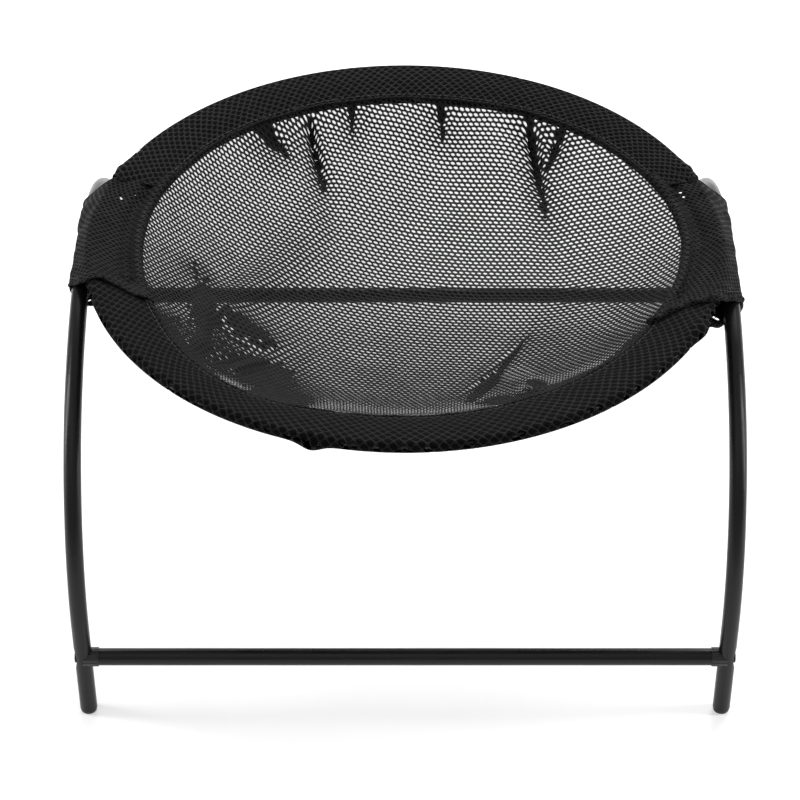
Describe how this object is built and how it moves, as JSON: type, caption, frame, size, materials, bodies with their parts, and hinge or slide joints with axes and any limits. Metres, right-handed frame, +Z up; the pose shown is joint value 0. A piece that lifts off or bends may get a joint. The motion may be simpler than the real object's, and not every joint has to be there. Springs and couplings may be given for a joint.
{
  "type": "dog bed",
  "caption": "Raised pet bed: a round black mesh hammock held by a hoop between bent tube side arches that low crossbars join.",
  "frame": {"origin": "on the floor under the middle of the bed", "axes": "+X along the crossbars to the right, +Y from front to rear, +Z up"},
  "size_m": [0.5038, 0.4842, 0.2788],
  "materials": {
    "frame_tube": "black powder coat, semi-gloss",
    "black_plastic": "moulded, fine grain",
    "insert_brass": "turned",
    "bolt_steel": "black oxide",
    "hoop_steel": "black coated rod",
    "basin_mesh": "open hexagonal air mesh, one layer",
    "rim_mesh": "open hexagonal air mesh, folded double",
    "binding_tape": "woven polyester tape"
  },
  "bodies": {
    "root": {"front_crossbar": "frame_tube", "front_hoop": "hoop_steel", "front_left_bar_insert": "insert_brass", "front_left_bar_plug": "black_plastic", "front_left_bolt": "bolt_steel", "front_left_foot_cap": "black_plastic", "front_right_bar_insert": "insert_brass", "front_right_bar_plug": "black_plastic", "front_right_bolt": "bolt_steel", "front_right_foot_cap": "black_plastic", "front_rim": "rim_mesh", "front_seam_tape": "binding_tape", "left_arch": "frame_tube", "left_hoop_ferrule": "hoop_steel", "left_sleeve": "rim_mesh", "mesh_basin": "basin_mesh", "rear_crossbar": "frame_tube", "rear_hoop": "hoop_steel", "rear_left_bar_insert": "insert_brass", "rear_left_bar_plug": "black_plastic", "rear_left_bolt": "bolt_steel", "rear_left_foot_cap": "black_plastic", "rear_right_bar_insert": "insert_brass", "rear_right_bar_plug": "black_plastic", "rear_right_bolt": "bolt_steel", "rear_right_foot_cap": "black_plastic", "rear_rim": "rim_mesh", "rear_seam_tape": "binding_tape", "right_arch": "frame_tube", "right_hoop_ferrule": "hoop_steel", "right_sleeve": "rim_mesh"}
  },
  "joints": []
}
